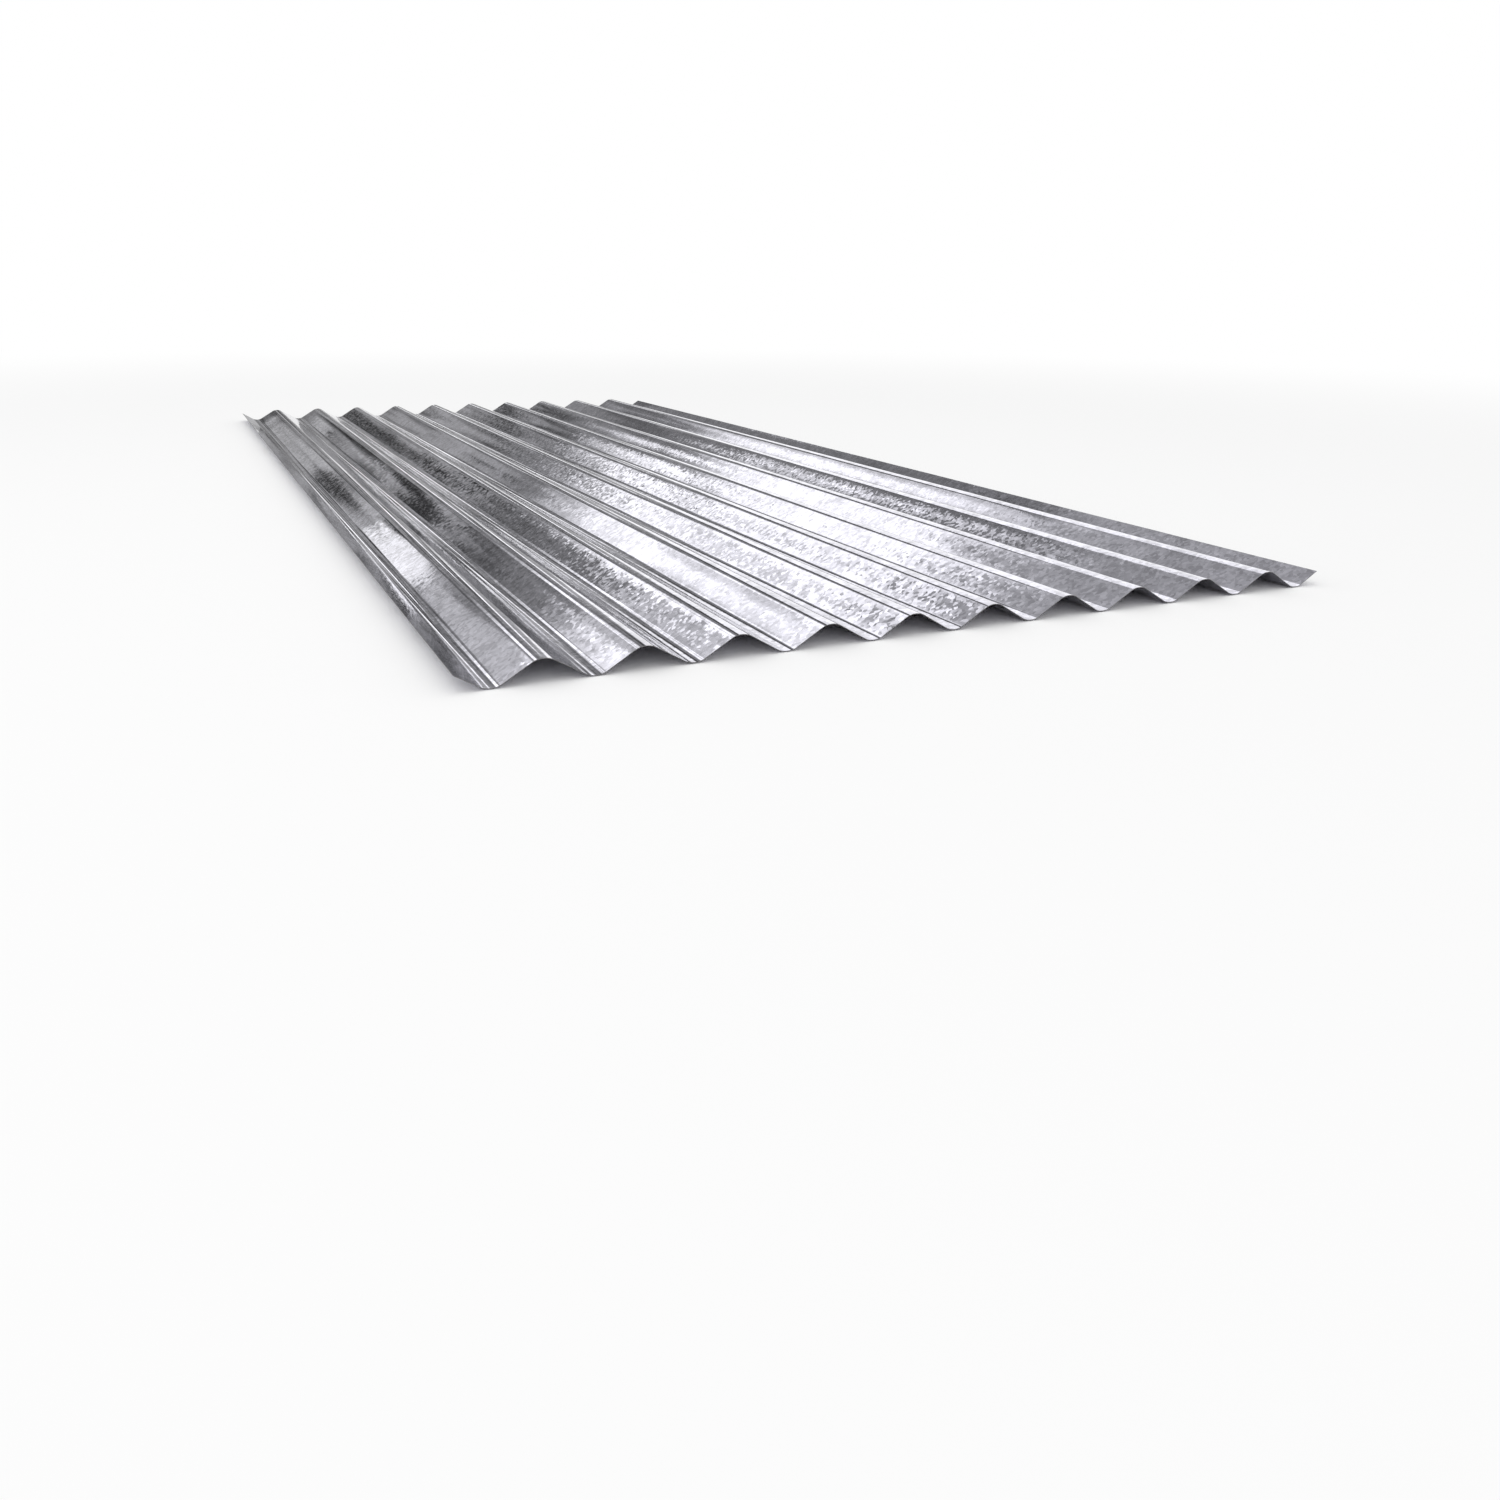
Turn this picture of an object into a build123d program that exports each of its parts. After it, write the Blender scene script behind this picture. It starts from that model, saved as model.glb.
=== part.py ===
from build123d import *
from math import asin, atan2, cos, hypot, tan
import os

# A corrugated roofing sheet, roll-formed from one strip of galvanised steel.
# X runs across the corrugations, Y along them and Z up. The origin is under the
# middle of the sheet, level with the underside of its valleys.

# Driving dimensions, in millimetres
sheet_length = 1829.0  # along the corrugations
crest_count = 10
pitch = 76.2  # from crest to crest
depth = 18.0  # from crest to valley, on one face
fold_radius = 15.0  # of each crest and valley, at mid-thickness
lip_run = 25.0  # width of the upturned lip beyond each outer valley
thickness = 0.5  # steel and its zinc coat

# Each flank is the common tangent of a crest arc and a valley arc of equal radius.
half_pitch = pitch / 2
centre_rise = 2 * fold_radius - depth
flank_angle = asin(2 * fold_radius / hypot(half_pitch, centre_rise)) - atan2(centre_rise, half_pitch)

# Sharp fold lines at mid-thickness, where neighbouring flanks would meet without their arcs.
overshoot = fold_radius * (1 / cos(flank_angle) - 1)
valley_level = thickness / 2 - overshoot
crest_level = thickness / 2 + depth + overshoot

# Both long edges stop part of the way up the flank outside the outer valley.
outer_valley = crest_count * half_pitch
lip_edge = outer_valley + lip_run
lip_level = valley_level + lip_run * tan(flank_angle)

fold_line = [(-lip_edge, lip_level)]
for fold in range(2 * crest_count + 1):
    level = crest_level if fold % 2 else valley_level
    fold_line.append((fold * half_pitch - outer_valley, level))
fold_line.append((lip_edge, lip_level))

with BuildPart() as corrugated_sheet:
    with BuildSketch(Plane.XZ) as section:
        with BuildLine() as mid_line:
            FilletPolyline(*fold_line, radius=fold_radius)
        trace(line_width=thickness)
    extrude(amount=sheet_length / 2, both=True)

corrugated_sheet.part.label = "corrugated_sheet"
os.makedirs("parts", exist_ok=True)
export_step(corrugated_sheet.part, "parts/corrugated_sheet.step")
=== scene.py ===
# A galvanised corrugated roofing sheet lying flat on a pale studio floor.
import math

import bpy
from mathutils import Euler, Matrix, Quaternion, Vector


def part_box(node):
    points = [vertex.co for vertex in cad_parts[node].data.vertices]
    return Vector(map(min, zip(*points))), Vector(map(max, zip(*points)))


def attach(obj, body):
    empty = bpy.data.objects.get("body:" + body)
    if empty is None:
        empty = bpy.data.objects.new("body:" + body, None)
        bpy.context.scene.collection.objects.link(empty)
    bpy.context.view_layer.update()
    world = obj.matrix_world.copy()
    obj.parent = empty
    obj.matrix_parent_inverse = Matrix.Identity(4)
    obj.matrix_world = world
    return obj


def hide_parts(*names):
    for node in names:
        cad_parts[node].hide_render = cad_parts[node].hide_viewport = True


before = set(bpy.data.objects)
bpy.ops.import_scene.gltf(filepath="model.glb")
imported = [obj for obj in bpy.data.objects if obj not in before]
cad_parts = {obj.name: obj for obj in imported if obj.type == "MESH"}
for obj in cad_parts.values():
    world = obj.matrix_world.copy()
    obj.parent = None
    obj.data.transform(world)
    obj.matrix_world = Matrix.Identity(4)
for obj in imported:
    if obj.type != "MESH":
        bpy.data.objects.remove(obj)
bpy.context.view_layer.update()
print("frame loaded:", sorted(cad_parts))


# ordinary helpers

def deselectAll():
    if bpy.context.object and bpy.context.object.mode != "OBJECT":
        bpy.ops.object.mode_set(mode="OBJECT")
    bpy.ops.object.select_all(action="DESELECT")


def newestPiece(name):
    piece = bpy.context.object
    piece.name = name
    piece.data.name = name
    return piece


def pickVerts(piece, rule):  # selects, in edit mode, every vertex whose place fits the rule
    bpy.ops.object.mode_set(mode="OBJECT")
    mesh = piece.data
    mesh.polygons.foreach_set("select", [False] * len(mesh.polygons))
    mesh.edges.foreach_set("select", [False] * len(mesh.edges))
    mesh.vertices.foreach_set("select", [bool(rule(v.co)) for v in mesh.vertices])
    bpy.context.tool_settings.mesh_select_mode = (True, False, False)
    bpy.ops.object.mode_set(mode="EDIT")


def pickEdges(piece, rule):  # the same for edges, by the places of their two ends
    bpy.ops.object.mode_set(mode="OBJECT")
    mesh = piece.data
    mesh.polygons.foreach_set("select", [False] * len(mesh.polygons))
    mesh.vertices.foreach_set("select", [False] * len(mesh.vertices))
    ends = [(mesh.vertices[e.vertices[0]].co, mesh.vertices[e.vertices[1]].co) for e in mesh.edges]
    mesh.edges.foreach_set("select", [bool(rule(a, b)) for a, b in ends])
    bpy.context.tool_settings.mesh_select_mode = (False, True, False)
    bpy.ops.object.mode_set(mode="EDIT")


def applyModifiers(piece):
    bpy.context.view_layer.objects.active = piece
    for modifier in list(piece.modifiers):
        bpy.ops.object.modifier_apply(modifier=modifier.name)


def freshMaterial(name):
    material = bpy.data.materials.new(name)
    material.use_nodes = True
    material.node_tree.nodes.clear()
    return material, material.node_tree


def addNode(tree, kind, inputs=None, **settings):
    node = tree.nodes.new(kind)
    for name, value in settings.items():
        setattr(node, name, value)
    for name, value in (inputs or {}).items():
        if isinstance(value, bpy.types.NodeSocket):
            tree.links.new(value, node.inputs[name])
        else:
            node.inputs[name].default_value = value
    return node


def addMath(tree, operation, first, second=0.0):
    return addNode(tree, "ShaderNodeMath", {0: first, 1: second}, operation=operation).outputs[0]


def addVector(tree, operation, first, second=(0, 0, 0)):
    return addNode(tree, "ShaderNodeVectorMath", {0: first, 1: second}, operation=operation).outputs[0]


def addRange(tree, value, before, after=(0.0, 1.0), **settings):  # maps one span of values to another
    return addNode(tree, "ShaderNodeMapRange",
                   {"Value": value, "From Min": before[0], "From Max": before[1],
                    "To Min": after[0], "To Max": after[1]}, **settings).outputs[0]


def addRamp(tree, factor, stops):  # stops are (place, grey or colour)
    ramp = addNode(tree, "ShaderNodeValToRGB", {"Fac": factor})
    elements = ramp.color_ramp.elements
    while len(elements) < len(stops):
        elements.new(1.0)
    for element, (place, tone) in zip(elements, stops):
        element.position = place
        element.color = (tone, tone, tone, 1) if isinstance(tone, (int, float)) else (*tone, 1)
    return ramp.outputs["Color"]


def addNoise(tree, place, lumps, detail):  # lumps to a unit of place, one number or X, Y and Z
    if isinstance(lumps, tuple):
        place = addNode(tree, "ShaderNodeMapping", {"Vector": place, "Scale": lumps}).outputs[0]
        lumps = 1.0
    return addNode(tree, "ShaderNodeTexNoise", {"Vector": place, "Scale": lumps, "Detail": detail})


def aboutZero(tree, noise):  # a noise runs from 0 to 1
    return addMath(tree, "SUBTRACT", noise.outputs["Fac"], 0.5)


def whiteGlow(tree, strength):
    return addNode(tree, "ShaderNodeEmission", {"Color": (1, 1, 1, 1), "Strength": strength}).outputs[0]


# zinc finish: small crystals, each with its own shine and tilt, under faint mill streaks

zincFinish = {
    "darkCrystal": (0.405, 0.401, 0.444),
    "paleCrystal": (0.745, 0.738, 0.817),
    "toneSpan": (0.05, 0.95),   # tones at which a crystal has those two colours
    "crystalsPerMetre": 290,
    "flowersPerMetre": 75,
    "flowerShare": 0.35,        # of a crystal's tone, from the larger flower that it lies in
    "blotchesPerMetre": 9,
    "blotchStrength": 0.9,
    "shine": (0.03, 0.09),      # roughness of the shiniest and the dullest crystals
    "streaksPerMetre": (420, 2.5, 40),
    "streakBump": 0.012,
    "streakDepth": 0.0004,
    "crystalTilt": 0.030,
    "foldTilt": 0.25,           # share of that tilt on the folds, where the zinc is drawn smooth
    "foldEdge": (0.50, 0.85),   # shares of the fold radius between which a fold becomes a flank
    "farTilt": 0.40,            # share of the tilt at the far end
    "fadeAlong": (-0.35, 0.45),
    "flankTilt": 0.016,
    "flanksPerMetre": (13.0, 0.9, 0.0),
    # one value each for the left lip, the ten corrugations and the right lip
    "spangle": (0.1, 0.15, 0.3, 0.8, 0.25, 0.9, 0.9, 0.6, 0.45, 0.85, 0.3, 0.4),
    "flankLean": (0, 0, 0, -0.022, 0, 0, 0, -0.014, -0.014, 0.0285, -0.023, 0.045),  # to the right
    "tipLean": (-0.016, 0, 0, 0, 0, 0, 0, 0, 0, 0, 0, 0),  # towards the near end, at the far tips
    "tipAlong": (0.60, 0.78),
}


def zincMaterial(finish):
    material, tree = freshMaterial("galvanisedZinc")
    place = addNode(tree, "ShaderNodeTexCoord").outputs["Object"]
    across, along, _ = addNode(tree, "ShaderNodeSeparateXYZ", {0: place}).outputs
    crystal = addNode(tree, "ShaderNodeTexVoronoi", {"Vector": place, "Scale": finish["crystalsPerMetre"]})
    flower = addNode(tree, "ShaderNodeTexVoronoi", {"Vector": place, "Scale": finish["flowersPerMetre"]})
    blotch = addNoise(tree, place, finish["blotchesPerMetre"], detail=3.0)
    streak = addNoise(tree, place, finish["streaksPerMetre"], detail=2.0)
    flank = addNoise(tree, place, finish["flanksPerMetre"], detail=1.0)

    # each crystal's own tone, part small grain and part larger flower
    grain = addNode(tree, "ShaderNodeSeparateColor", {"Color": crystal.outputs["Color"]}).outputs
    petal = addNode(tree, "ShaderNodeSeparateColor", {"Color": flower.outputs["Color"]}).outputs
    mixed = addNode(tree, "ShaderNodeMix",
                    {"Factor": finish["flowerShare"], "A": grain[0], "B": petal[0]}).outputs[0]
    blotches = addMath(tree, "MULTIPLY", aboutZero(tree, blotch), finish["blotchStrength"])
    tone = addMath(tree, "ADD", mixed, blotches)
    darkest, palest = finish["toneSpan"]
    colour = addRamp(tree, tone, [(darkest, finish["darkCrystal"]), (palest, finish["paleCrystal"])])
    dullness = addMath(tree, "ADD", grain[1], aboutZero(tree, streak))
    shine = addRange(tree, dullness, (0.0, 1.0), finish["shine"])

    # crystals tilt less on the folds and towards the far end
    fromFold = addMath(tree, "PINGPONG", across, sheetForm["pitch"] / 4)
    foldEdge = [share * sheetForm["foldRadius"] for share in finish["foldEdge"]]
    onFlank = addRange(tree, fromFold, foldEdge, (finish["foldTilt"], 1.0))
    onNearHalf = addRange(tree, along, finish["fadeAlong"], (1.0, finish["farTilt"]))
    spangle = byCorrugation(tree, across, finish["spangle"])
    tilt = addMath(tree, "MULTIPLY", addMath(tree, "MULTIPLY", spangle, onFlank),
                   addMath(tree, "MULTIPLY", onNearHalf, finish["crystalTilt"]))

    # each crystal and each flank leans its own way, so they mirror different parts of the studio
    sideways = byCorrugation(tree, across, finish["flankLean"])
    endways = addMath(tree, "MULTIPLY", byCorrugation(tree, across, finish["tipLean"]),
                      addRange(tree, along, finish["tipAlong"]))
    ownLean = addNode(tree, "ShaderNodeCombineXYZ", {"X": sideways, "Y": endways}).outputs[0]
    leaning = addNode(tree, "ShaderNodeNewGeometry").outputs["Normal"]
    leaning = addLean(tree, leaning, crystal.outputs["Color"], tilt)
    leaning = addLean(tree, leaning, flank.outputs["Color"], finish["flankTilt"])
    leaning = addVector(tree, "NORMALIZE", addVector(tree, "ADD", leaning, ownLean))
    bump = addNode(tree, "ShaderNodeBump",
                   {"Strength": finish["streakBump"], "Distance": finish["streakDepth"],
                    "Height": streak.outputs["Fac"], "Normal": leaning})

    metal = addNode(tree, "ShaderNodeBsdfPrincipled",
                    {"Base Color": colour, "Metallic": 1.0, "Roughness": shine, "Normal": bump.outputs[0]})
    addNode(tree, "ShaderNodeOutputMaterial", {"Surface": metal.outputs[0]})
    return material


def addLean(tree, normal, colour, most):  # tips a normal by a random colour, as far as most each way
    centred = addNode(tree, "ShaderNodeVectorMath", {0: colour, 1: (2, 2, 2), 2: (-1, -1, -1)},
                      operation="MULTIPLY_ADD").outputs[0]
    scaled = addNode(tree, "ShaderNodeVectorMath", {0: centred, "Scale": most},
                     operation="SCALE").outputs[0]
    return addVector(tree, "ADD", normal, scaled)


def byCorrugation(tree, across, values):  # a value for each corrugation, listed from left to right
    count = len(values)
    place = addMath(tree, "ADD", addMath(tree, "DIVIDE", across, count * sheetForm["pitch"]), 0.5)
    low = min(values)
    span = max(values) - low
    steps = addRamp(tree, place, [(i / count, (value - low) / span) for i, value in enumerate(values)])
    steps.node.color_ramp.interpolation = "CONSTANT"
    return addMath(tree, "ADD", addMath(tree, "MULTIPLY", steps, span), low)


# sheared edge: bare steel where the strip was slit and cropped. Its smeared and fresh marks are real, but
# both tones are darkened with painted shade, so the cut edge reads as a dark line

shearedEdgeAndShade = {
    # both steel tones are kept darker than bare steel: painted shade along the cut edge
    "freshAndShaded": (0.30, 0.295, 0.30),
    "smearedAndShaded": (0.13, 0.128, 0.13),
    "marksPerMetre": 900,
    "markSpan": (0.35, 0.65),  # over this span of noise the edge goes from smeared to fresh, both darkened with painted shade
    "roughness": 0.45,
    "lipBand": 0.001,          # a lip's edge faces lie within this of its outside
    "lipFacing": 0.7,          # and face sideways at least this much
    "endFacing": 0.9,
}


def edgeMaterial(finish):
    material, tree = freshMaterial("shearedSteelAndShade")
    place = addNode(tree, "ShaderNodeTexCoord").outputs["Object"]
    marks = addNoise(tree, place, finish["marksPerMetre"], detail=2.0)
    smearedShadedUpTo, freshShadedFrom = finish["markSpan"]
    # steel marks whose tones carry painted shade along the cut edge
    colour = addRamp(tree, marks.outputs["Fac"],
                     [(smearedShadedUpTo, finish["smearedAndShaded"]), (freshShadedFrom, finish["freshAndShaded"])])
    metal = addNode(tree, "ShaderNodeBsdfPrincipled",
                    {"Base Color": colour, "Metallic": 1.0, "Roughness": finish["roughness"]})
    addNode(tree, "ShaderNodeOutputMaterial", {"Surface": metal.outputs[0]})
    return material


# the sheet: a flat strip folded into a zigzag, its folds rounded, then given its gauge

sheetForm = {
    "crests": 10,
    "pitch": 0.0762,
    "lipRun": 0.025,
    "foldRadius": 0.015,
    "gauge": 0.0005,
    "flankColumns": 2,
    "foldSegments": 8,
    "lengthCuts": 119,
    "slack": 0.0002,        # crests and valleys stop this far short of the full depth
    "trim": 0.00005,        # ends and lips stop this far short of the full size
    "crestWander": 0.0010,  # unevenness from crest to crest, as rolled
    "wanderGrain": (0.11, 0.75, 1.0),
    "handlingDents": 0.00035,
    "dentGrain": (0.05, 0.16, 0.2),
    "pickReach": 0.125,     # share of half a pitch within which a vertex counts as on a fold
    "smoothAngle": 40,
}


def corrugatedSheet(form, low, high):
    length = high.y - low.y - 2 * form["trim"]
    middle = (low + high) / 2
    halfPitch = form["pitch"] / 2
    outerValley = form["crests"] * halfPitch
    depth = high.z - low.z - form["gauge"]
    radius = form["foldRadius"]
    centreRise = 2 * radius - depth
    centreGap = math.hypot(halfPitch, centreRise)
    flankAngle = math.asin(2 * radius / centreGap) - math.atan2(centreRise, halfPitch)
    foldHeight = halfPitch * math.tan(flankAngle) - 2 * form["slack"]
    near = halfPitch * form["pickReach"]

    # flat strip, with columns of faces on each flank
    deselectAll()
    columns = 2 * form["crests"] * form["flankColumns"]
    bpy.ops.mesh.primitive_grid_add(x_subdivisions=columns, y_subdivisions=1, size=1, location=middle)
    sheet = newestPiece("corrugatedSheet")
    bpy.ops.object.mode_set(mode="EDIT")
    bpy.ops.mesh.select_all(action="SELECT")
    bpy.ops.transform.resize(value=(2 * outerValley, length, 1))
    bpy.ops.object.mode_set(mode="OBJECT")
    bpy.ops.object.transform_apply(location=True, rotation=True, scale=True)

    def onFold(x, parities=(0, 1)):  # folds are counted from the left valley, so crests are odd
        fold = round((x + outerValley) / halfPitch)
        return abs(x + outerValley - fold * halfPitch) < near and fold % 2 in parities

    # folds go up and down
    pickVerts(sheet, lambda co: onFold(co.x, (1,)))
    bpy.ops.transform.translate(value=(0, 0, foldHeight / 2))
    pickVerts(sheet, lambda co: onFold(co.x, (0,)))
    bpy.ops.transform.translate(value=(0, 0, -foldHeight / 2))

    # a lip along each long edge
    lipRun = form["lipRun"] - form["trim"]
    lipRise = lipRun * math.tan(flankAngle)
    for side in (-1, 1):
        pickEdges(sheet, lambda a, b: min(side * a.x, side * b.x) > outerValley - near)
        bpy.ops.mesh.extrude_region_move(
            TRANSFORM_OT_translate={"value": (side * lipRun, 0, lipRise)})
    print("sheet folded,", form["crests"], "crests, flanks at",
          round(math.degrees(flankAngle), 1), "degrees")

    # folds are rounded
    pickEdges(sheet, lambda a, b: abs(a.x - b.x) < near and onFold(a.x) and abs(a.x) < outerValley + near)
    bpy.ops.mesh.bevel(offset_type="OFFSET", offset=radius * math.tan(flankAngle),
                       segments=form["foldSegments"], profile=0.5, affect="EDGES", clamp_overlap=False)

    # cuts across the length, then the unevenness of a real sheet
    pickEdges(sheet, lambda a, b: abs(a.y - b.y) > length / 2)
    bpy.ops.mesh.subdivide(number_cuts=form["lengthCuts"])
    bpy.ops.object.mode_set(mode="OBJECT")
    unevenness(sheet, "crestWander", form["crestWander"], form["wanderGrain"])
    unevenness(sheet, "handlingDents", form["handlingDents"], form["dentGrain"])
    gauge = sheet.modifiers.new("gauge", "SOLIDIFY")
    gauge.thickness = form["gauge"]
    gauge.offset = 0
    gauge.use_even_offset = True
    applyModifiers(sheet)
    deselectAll()
    sheet.select_set(True)
    bpy.context.view_layer.objects.active = sheet
    bpy.ops.object.shade_smooth_by_angle(angle=math.radians(form["smoothAngle"]))
    print("sheet has", len(sheet.data.polygons), "faces")
    return sheet


def unevenness(piece, name, strength, grain):  # soft lumps, of this size along X, Y and Z
    deselectAll()
    bpy.ops.object.empty_add(location=(0, 0, 0))
    ruler = bpy.context.object
    ruler.name = name + "Ruler"
    ruler.scale = grain
    lumps = bpy.data.textures.new(name, "CLOUDS")
    lumps.noise_scale = 1.0
    lumps.noise_depth = 1
    bump = piece.modifiers.new(name, "DISPLACE")
    bump.texture = lumps
    bump.texture_coords = "OBJECT"
    bump.texture_coords_object = ruler
    bump.direction = "Z"
    bump.mid_level = 0.5
    bump.strength = strength
    bpy.context.view_layer.update()
    applyModifiers(piece)
    bpy.data.objects.remove(ruler)


def dressSheet(sheet, outside, edge):
    sheet.data.materials.clear()
    sheet.data.materials.append(zincMaterial(zincFinish))
    sheet.data.materials.append(edgeMaterial(edge))
    for face in sheet.data.polygons:
        # the ends and the lips' outer faces take the steel with painted shade
        atEnd = abs(face.normal.y) > edge["endFacing"]
        atLip = abs(face.center.x) > outside - edge["lipBand"] and abs(face.normal.x) > edge["lipFacing"]
        face.material_index = 1 if atEnd or atLip else 0
    print("sheet dressed in zinc, its edges in bare steel")


lowCorner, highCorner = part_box("corrugated_sheet")
sheet = corrugatedSheet(sheetForm, lowCorner, highCorner)
dressSheet(sheet, highCorner.x, shearedEdgeAndShade)
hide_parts("corrugated_sheet")
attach(sheet, "root")


# stage: pale floor that fades to white

stageSet = {
    "floorSize": 90.0,
    "floorTone": 0.93,
    "floorDrop": 0.0003,
    "fade": (1.1, 3.6),
    "ambient": 0.95,
}


def seenDirectly(tree):  # 1 for camera, mirror and glass rays
    path = addNode(tree, "ShaderNodeLightPath")
    either = addMath(tree, "MAXIMUM", path.outputs["Is Camera Ray"], path.outputs["Is Glossy Ray"])
    return addMath(tree, "MAXIMUM", either, path.outputs["Is Transmission Ray"])


def paleFloor(stage):
    material, tree = freshMaterial("paleFloor")
    place = addNode(tree, "ShaderNodeTexCoord").outputs["Object"]
    distance = addNode(tree, "ShaderNodeVectorMath", {0: place}, operation="LENGTH").outputs["Value"]
    fade = addRange(tree, distance, stage["fade"], interpolation_type="SMOOTHSTEP")
    tone = stage["floorTone"]
    matt = addNode(tree, "ShaderNodeBsdfDiffuse", {"Color": (tone, tone, tone, 1)}).outputs[0]
    share = addMath(tree, "MULTIPLY", fade, seenDirectly(tree))
    mixed = addNode(tree, "ShaderNodeMixShader", {0: share, 1: matt, 2: whiteGlow(tree, 1.0)})
    addNode(tree, "ShaderNodeOutputMaterial", {"Surface": mixed.outputs[0]})
    deselectAll()
    bpy.ops.mesh.primitive_plane_add(size=stage["floorSize"], location=(0, 0, -stage["floorDrop"]))
    floor = newestPiece("floor")
    floor.data.materials.append(material)


def studioWorld(stage):
    world = bpy.data.worlds.new("whiteStudio")
    world.use_nodes = True
    tree = world.node_tree
    tree.nodes.clear()
    strength = addNode(tree, "ShaderNodeMix",
                       {"Factor": seenDirectly(tree), "A": stage["ambient"], "B": 1.0})
    white = addNode(tree, "ShaderNodeBackground", {"Color": (1, 1, 1, 1), "Strength": strength.outputs[0]})
    addNode(tree, "ShaderNodeOutputWorld", {"Surface": white.outputs[0]})
    bpy.context.scene.world = world


# studio walls, seen only as mirrored in the metal. Azimuth runs from +Y to the right, and each
# band is (degrees above the floor, brightness). A wall fades in and out at its four azimuths.

studioWalls = {
    "radius": 24.0,
    "segments": 64,
    "rings": 32,
    "allRound": [(0, 0.40), (10, 0.45), (14, 0.95), (33, 0.95),
                 (39, 0.50), (52, 0.52), (64, 0.75), (90, 0.75)],
    "sides": [
        {"azimuths": (-130, -110, -50, -30),
         "bands": [(0, 0.40), (9, 0.45), (12, 0.95), (21, 0.95),
                   (25, 0.46), (52, 0.50), (64, 0.75), (90, 0.75)]},
        {"azimuths": (15, 16, 20, 21),
         "bands": [(0, 0.45), (16, 0.45), (19, 0.10), (35, 0.10),
                   (40, 0.44), (52, 0.50), (64, 0.75), (90, 0.75)]},
        {"azimuths": (20, 21, 52, 64),
         "bands": [(0, 1.25), (38, 1.40), (41, 0.50), (52, 0.52), (64, 0.75), (90, 0.75)]},
    ],
    # broad light and dark patches, overhead and outside these azimuths
    "patchesAcross": 3.2,
    "patchSpan": (0.40, 0.60),
    "patches": (-0.65, 0.80),
    "plainAzimuths": (-40, -28, 60, 75),
    "overhead": (50, 60),
}

# the back wall is dark and mottled below and grey above, with a white band between

backWall = {
    "azimuths": (-24, -14, 15, 16),
    "foot": [(0, 0.29), (5, 0.30), (8, 0.235), (18.3, 0.235),
             (20.3, 0.85), (22, 1.48), (24, 1.70), (90, 1.70)],
    "head": [(0, 1.70), (32, 1.70), (33.6, 1.50), (37, 0.52), (52, 0.52), (64, 0.75), (90, 0.75)],
    # how much higher the foot stands, by azimuth
    "footLifts": [(-9.2, 0.6), (-8.0, -1.5), (-6.7, 3.2), (-5.4, 2.0), (-4.6, 6.5),
                  (-2.9, 6.5), (-2.1, -0.3), (1.9, -0.4), (2.5, -0.7), (3.2, -0.4),
                  (3.9, 0.6), (4.6, 4.4), (5.3, 4.6), (5.8, 4.2), (6.3, 2.8),
                  (7.4, 4.6), (8.5, 8.0), (9.6, 10.8), (11.0, 14.0), (12.5, 20.0)],
    "liftsWithin": 15.0,            # azimuths to either side that the lifts cover
    "headSlope": 0.33,              # degrees higher for each degree to the right
    "mottlesAcross": 34.0,
    "mottleSpan": (0.43, 0.57),
    "mottles": (-0.85, 0.85),
    "mottleHeights": (22.0, 15.4),  # heights from none to full strength
    "mottleSeed": 15.6,
}


def mirroredOnly(panel):
    panel.visible_camera = False
    panel.visible_diffuse = False
    panel.visible_transmission = False
    panel.visible_volume_scatter = False
    panel.visible_shadow = False


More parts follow.
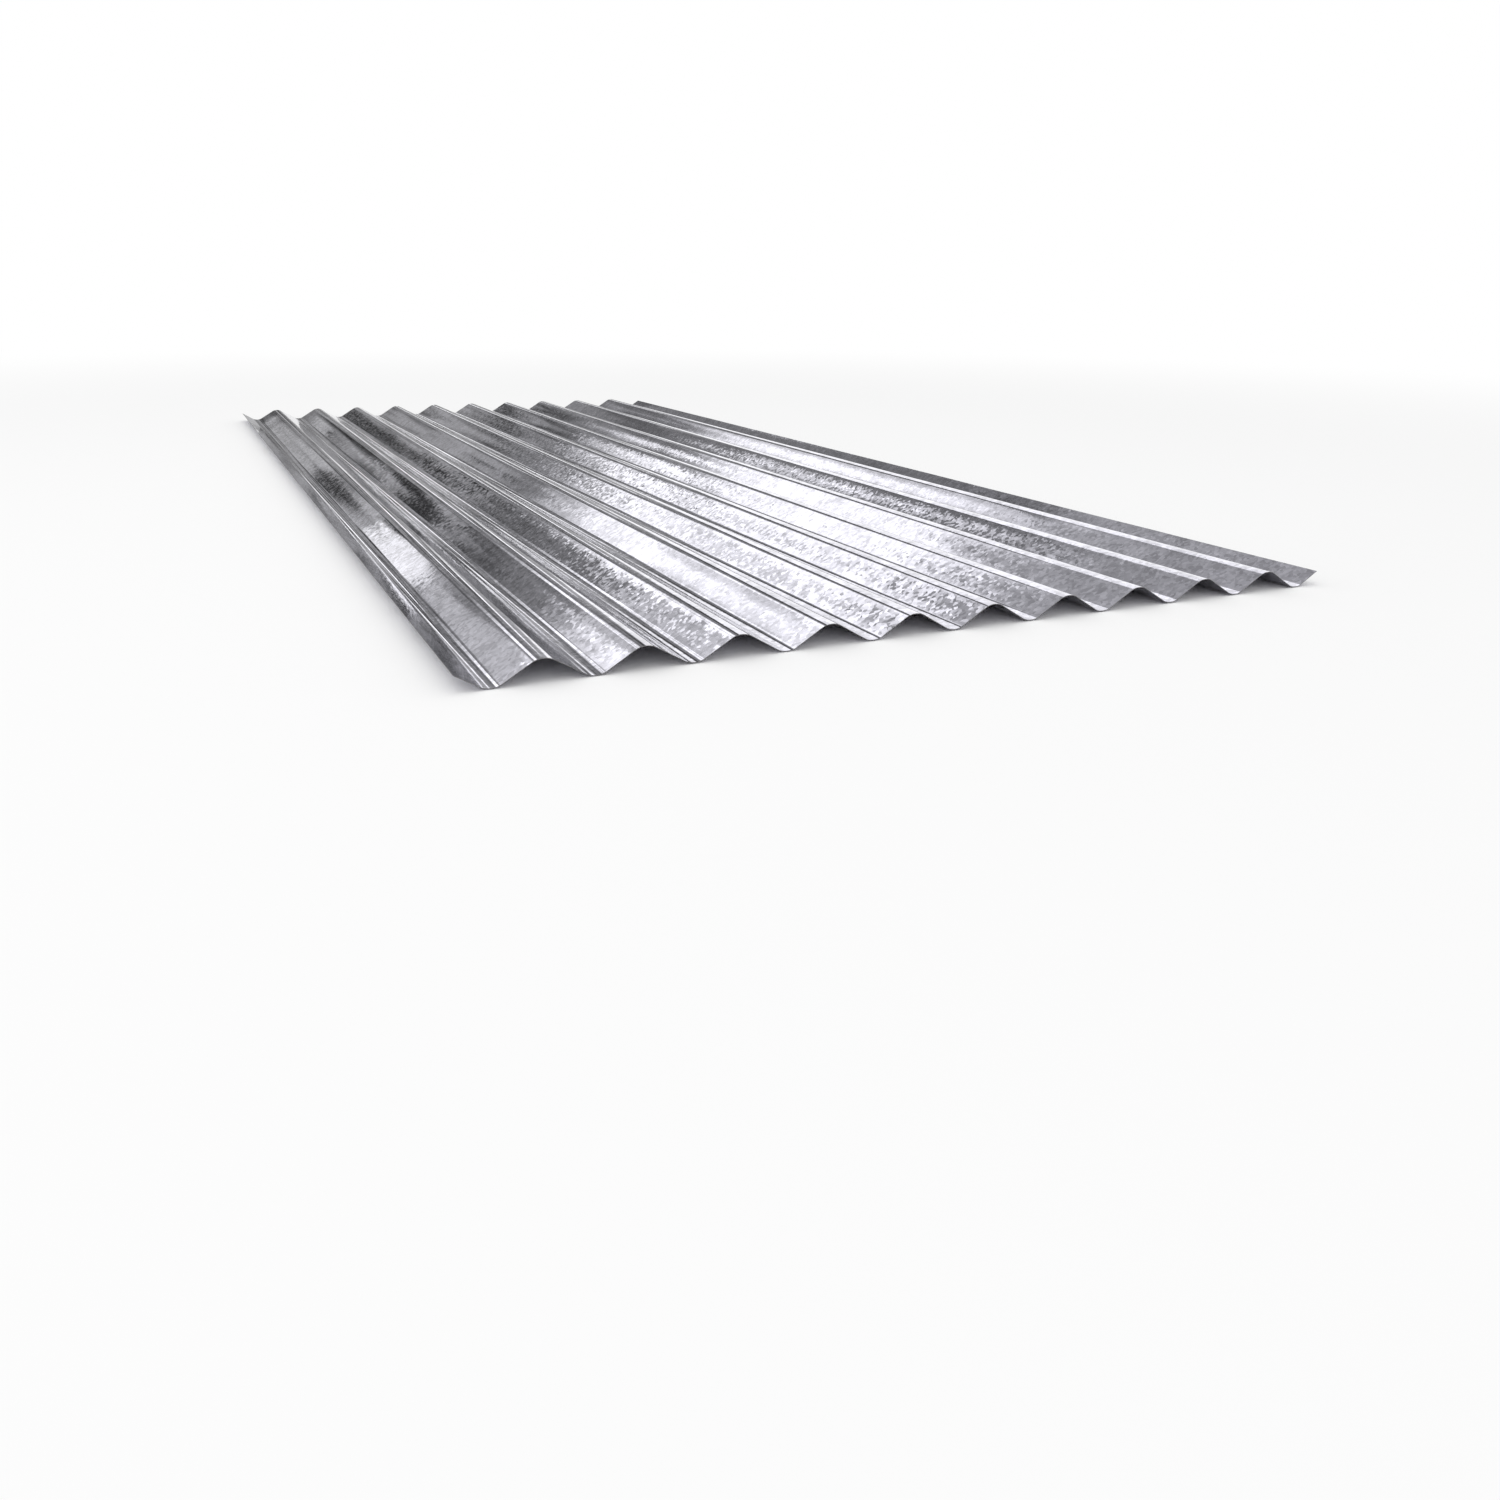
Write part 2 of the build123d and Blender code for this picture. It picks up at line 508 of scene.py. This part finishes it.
def mirroredDome(studio, back):
    material, tree = freshMaterial("studioWalls")
    place = addNode(tree, "ShaderNodeTexCoord").outputs["Object"]
    toward = addVector(tree, "NORMALIZE", place)
    axes = addNode(tree, "ShaderNodeSeparateXYZ", {0: toward}).outputs
    azimuth = addMath(tree, "DEGREES", addMath(tree, "ARCTAN2", axes[0], axes[1]))
    height = addMath(tree, "DEGREES", addMath(tree, "ARCSINE", axes[2]))
    zenith = 90
    brightest = max(tone for _, tone in back["head"])

    def share(azimuths):  # 1 between the middle two, down to 0 at the outer two
        start, full, fading, end = azimuths
        rising = addRange(tree, azimuth, (start, full))
        return addMath(tree, "MULTIPLY", rising, addRange(tree, azimuth, (end, fading)))

    def banded(bands, level):
        stops = [(angle / zenith, tone / brightest) for angle, tone in bands]
        return addRamp(tree, addRange(tree, level, (0, zenith)), stops)

    def varied(tone, change):  # brighter or darker by this share
        return addMath(tree, "MULTIPLY", tone, addMath(tree, "ADD", change, 1.0))

    # the back wall's foot goes up and down with azimuth, and low down it is mottled
    within = back["liftsWithin"]
    lowest = min(rise for _, rise in back["footLifts"])
    most = max(rise for _, rise in back["footLifts"]) - lowest
    lifts = [((angle + within) / (2 * within), (rise - lowest) / most)
             for angle, rise in back["footLifts"]]
    lift = addRamp(tree, addRange(tree, azimuth, (-within, within)), lifts)
    footLift = addMath(tree, "ADD", addMath(tree, "MULTIPLY", lift, most), lowest)
    footLevel = addMath(tree, "SUBTRACT", height, footLift)
    headLevel = addMath(tree, "SUBTRACT", height, addMath(tree, "MULTIPLY", azimuth, back["headSlope"]))
    backTone = addMath(tree, "MINIMUM", banded(back["foot"], footLevel), banded(back["head"], headLevel))
    cloud = addNoise(tree, toward, back["mottlesAcross"], detail=2.0)
    cloud.noise_dimensions = "4D"
    cloud.inputs["W"].default_value = back["mottleSeed"]
    mottle = addMath(tree, "MULTIPLY",
                     addRange(tree, cloud.outputs["Fac"], back["mottleSpan"], back["mottles"]),
                     addRange(tree, height, back["mottleHeights"]))

    # the walls are laid over the plain one that runs all round
    tone = banded(studio["allRound"], height)
    layers = [(back["azimuths"], varied(backTone, mottle))]
    layers += [(side["azimuths"], banded(side["bands"], height)) for side in studio["sides"]]
    for azimuths, wallTone in layers:
        tone = addNode(tree, "ShaderNodeMix",
                       {"Factor": share(azimuths), "A": tone, "B": wallTone}).outputs[0]
    cloud = addNoise(tree, toward, studio["patchesAcross"], detail=1.0)
    outside = addMath(tree, "SUBTRACT", 1.0, share(studio["plainAzimuths"]))
    patchy = addMath(tree, "MAXIMUM", outside, addRange(tree, height, studio["overhead"]))
    patch = addMath(tree, "MULTIPLY", patchy,
                    addRange(tree, cloud.outputs["Fac"], studio["patchSpan"], studio["patches"]))
    strength = addMath(tree, "MULTIPLY", varied(tone, patch), brightest)
    addNode(tree, "ShaderNodeOutputMaterial", {"Surface": whiteGlow(tree, strength)})
    deselectAll()
    bpy.ops.mesh.primitive_uv_sphere_add(segments=studio["segments"], ring_count=studio["rings"],
                                         radius=studio["radius"], location=(0, 0, 0))
    dome = newestPiece("studioWalls")
    dome.data.materials.append(material)
    mirroredOnly(dome)


# softboxes, a window and screens, also mirrored only. Each one is (azimuths, heights, brightness,
# slant to the right), with its angles in degrees.

panelNearness = 0.8  # share of the walls' radius

glowPanels = {
    "stripNear": ((7.6, 8.9), (8, 15), 1.7, 0),
    "stripNearFoot": ((7.6, 8.9), (2, 8), 1.0, 0),
    "stripFar": ((14.0, 15.6), (8, 17), 1.5, 0),
    "stripFarFoot": ((14.0, 15.6), (2, 8), 0.95, 0),
    "window": ((-8.0, -5.2), (12.0, 15.4), 1.30, 0),
    "sill": ((-10.4, -7.7), (16.2, 22.0), 0.66, 0),
    "blind": ((-0.5, 2.9), (25.0, 33.0), 1.10, 0),
    "screen": ((-6.2, -2.7), (23.4, 31.0), 0.74, 0),
    "shade": ((9.1, 11.6), (24.5, 39.0), 0.92, 15),
    "crestGlow": ((25.0, 40.0), (36.0, 43.0), 1.40, 25),
}


def glowPanel(name, azimuths, heights, tone, slant, radius):
    material, tree = freshMaterial(name)
    addNode(tree, "ShaderNodeOutputMaterial", {"Surface": whiteGlow(tree, tone)})
    azimuth = math.radians(sum(azimuths) / 2)
    height = math.radians(sum(heights) / 2)
    level = math.cos(height)
    toward = Vector((math.sin(azimuth) * level, math.cos(azimuth) * level, math.sin(height)))
    facing = toward.to_track_quat("Z", "Y") @ Quaternion((0, 0, 1), math.radians(slant))
    deselectAll()
    bpy.ops.mesh.primitive_plane_add(size=radius, location=radius * toward, rotation=facing.to_euler())
    panel = newestPiece(name)
    width = math.radians(azimuths[1] - azimuths[0]) * level
    panel.scale = (width, math.radians(heights[1] - heights[0]), 1)
    panel.data.materials.append(material)
    mirroredOnly(panel)


keyLamp = {"place": (-1.6, -1.2, 3.2), "target": (0.1, 0.1, 0.0), "size": 2.4, "watts": 14}


def softLamp(lamp):
    deselectAll()
    bpy.ops.object.light_add(type="AREA", location=lamp["place"])
    light = bpy.context.object
    light.name = "keySoftbox"
    aim = Vector(lamp["target"]) - Vector(lamp["place"])
    light.rotation_euler = aim.to_track_quat("-Z", "Y").to_euler()
    light.data.size = lamp["size"]
    light.data.energy = lamp["watts"]
    light.visible_glossy = False


# camera: the photograph's place, lens and slight tilt

cameraSet = {
    "place": (-0.5645, -1.7170, 0.2657),
    "azimuth": -25.42,
    "elevation": 21.01,
    "roll": 0.53,
    "lens": 29.47,
    "sensor": 36,
    "clip": (0.02, 200),
}


def photoCamera(view):
    deselectAll()
    bpy.ops.object.camera_add(location=view["place"])
    camera = bpy.context.object
    camera.name = "photoCamera"
    turn = Euler((math.radians(90 - view["elevation"]), 0, math.radians(view["azimuth"])))
    camera.matrix_world = (Matrix.Translation(view["place"]) @ turn.to_matrix().to_4x4()
                           @ Matrix.Rotation(math.radians(view["roll"]), 4, "Z"))
    camera.data.sensor_width = view["sensor"]
    camera.data.lens = view["lens"]
    camera.data.clip_start, camera.data.clip_end = view["clip"]
    bpy.context.scene.camera = camera


paleFloor(stageSet)
studioWorld(stageSet)
mirroredDome(studioWalls, backWall)
for panelName, (azimuths, heights, tone, slant) in glowPanels.items():
    glowPanel(panelName, azimuths, heights, tone, slant, panelNearness * studioWalls["radius"])
softLamp(keyLamp)
photoCamera(cameraSet)
bpy.context.scene.view_settings.view_transform = "Standard"
print("stage, lamps and camera set")
